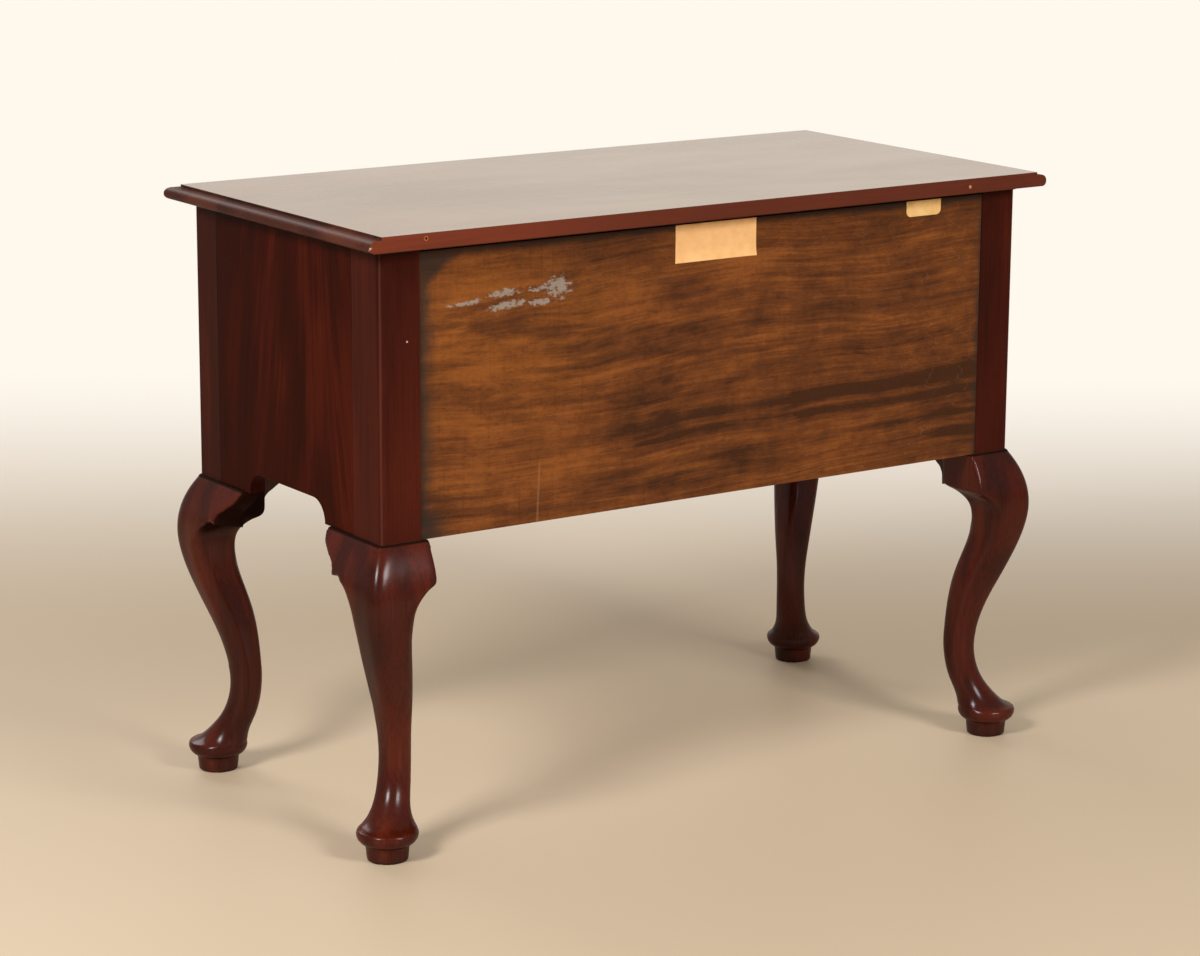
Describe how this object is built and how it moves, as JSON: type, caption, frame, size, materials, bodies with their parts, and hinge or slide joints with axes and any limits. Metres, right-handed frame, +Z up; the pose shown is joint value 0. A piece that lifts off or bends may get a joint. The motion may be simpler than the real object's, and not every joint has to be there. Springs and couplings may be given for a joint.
{
  "type": "lowboy",
  "caption": "Low chest of drawers on cabriole legs with pad feet, with a moulded top, sliding lipped drawers, swinging brass bails and a shaped apron.",
  "frame": {"origin": "on the floor, under the middle of the chest", "axes": "+Z up; the drawers open towards -Y; +X is to the right as seen from the front"},
  "size_m": [1.016, 0.508, 0.762],
  "materials": {
    "top_wood": "satin lacquer on red-brown mahogany",
    "case_wood": "satin lacquer on dark red-brown mahogany",
    "leg_wood": "glossy lacquer on dark red-brown mahogany",
    "back_wood": "thin brown stain on bare plywood",
    "inner_wood": "bare planed wood",
    "brass": "polished, slightly aged",
    "label_paper": "blank aged paper",
    "tag_card": "blank aged card"
  },
  "bodies": {
    "case": {"apron": "case_wood", "back_panel": "back_wood", "card_tag": "tag_card", "front_left_knee_block": "leg_wood", "front_left_leg": "leg_wood", "front_left_side_knee_block": "leg_wood", "front_right_knee_block": "leg_wood", "front_right_leg": "leg_wood", "front_right_side_knee_block": "leg_wood", "kickers": "inner_wood", "left_divider": "case_wood", "left_lower_runner": "inner_wood", "left_partition": "inner_wood", "left_side_panel": "case_wood", "left_upper_runner": "inner_wood", "middle_rail": "case_wood", "paper_label": "label_paper", "rear_left_knee_block": "leg_wood", "rear_left_leg": "leg_wood", "rear_lower_rail": "inner_wood", "rear_middle_rail": "inner_wood", "rear_right_knee_block": "leg_wood", "rear_right_leg": "leg_wood", "rear_top_rail": "inner_wood", "right_divider": "case_wood", "right_lower_runner": "inner_wood", "right_partition": "inner_wood", "right_side_panel": "case_wood", "right_upper_runner": "inner_wood", "top": "top_wood", "top_rail": "case_wood"},
    "long_drawer": {"long_drawer_back": "inner_wood", "long_drawer_bottom": "inner_wood", "long_drawer_front": "case_wood", "long_drawer_pull_plates": "brass", "long_drawer_pull_posts": "brass", "long_drawer_sides": "inner_wood"},
    "left_drawer": {"left_drawer_back": "inner_wood", "left_drawer_bottom": "inner_wood", "left_drawer_front": "case_wood", "left_drawer_pull_plates": "brass", "left_drawer_pull_posts": "brass", "left_drawer_sides": "inner_wood"},
    "centre_drawer": {"centre_drawer_back": "inner_wood", "centre_drawer_bottom": "inner_wood", "centre_drawer_front": "case_wood", "centre_drawer_pull_plates": "brass", "centre_drawer_pull_posts": "brass", "centre_drawer_sides": "inner_wood"},
    "right_drawer": {"right_drawer_back": "inner_wood", "right_drawer_bottom": "inner_wood", "right_drawer_front": "case_wood", "right_drawer_pull_plates": "brass", "right_drawer_pull_posts": "brass", "right_drawer_sides": "inner_wood"},
    "centre_drawer_bail": {"centre_drawer_bail": "brass"},
    "left_drawer_bail": {"left_drawer_bail": "brass"},
    "long_drawer_left_bail": {"long_drawer_left_bail": "brass"},
    "long_drawer_right_bail": {"long_drawer_right_bail": "brass"},
    "right_drawer_bail": {"right_drawer_bail": "brass"}
  },
  "joints": [
    {"name": "long_drawer_slide", "type": "slide", "parent": "case", "child": "long_drawer", "axis": [0, -1, 0], "range_m": [0, 0.3]},
    {"name": "left_drawer_slide", "type": "slide", "parent": "case", "child": "left_drawer", "axis": [0, -1, 0], "range_m": [0, 0.3]},
    {"name": "centre_drawer_slide", "type": "slide", "parent": "case", "child": "centre_drawer", "axis": [0, -1, 0], "range_m": [0, 0.3]},
    {"name": "right_drawer_slide", "type": "slide", "parent": "case", "child": "right_drawer", "axis": [0, -1, 0], "range_m": [0, 0.3]},
    {"name": "centre_drawer_bail_swing", "type": "hinge", "parent": "centre_drawer", "child": "centre_drawer_bail", "pos_m": [0, -0.2422, 0.547], "axis": [-1, 0, 0], "range_deg": [0, 75]},
    {"name": "left_drawer_bail_swing", "type": "hinge", "parent": "left_drawer", "child": "left_drawer_bail", "pos_m": [-0.296, -0.2422, 0.522], "axis": [-1, 0, 0], "range_deg": [0, 75]},
    {"name": "long_drawer_left_bail_swing", "type": "hinge", "parent": "long_drawer", "child": "long_drawer_left_bail", "pos_m": [-0.296, -0.2422, 0.6665], "axis": [-1, 0, 0], "range_deg": [0, 75]},
    {"name": "long_drawer_right_bail_swing", "type": "hinge", "parent": "long_drawer", "child": "long_drawer_right_bail", "pos_m": [0.296, -0.2422, 0.6665], "axis": [-1, 0, 0], "range_deg": [0, 75]},
    {"name": "right_drawer_bail_swing", "type": "hinge", "parent": "right_drawer", "child": "right_drawer_bail", "pos_m": [0.296, -0.2422, 0.522], "axis": [-1, 0, 0], "range_deg": [0, 75]}
  ]
}
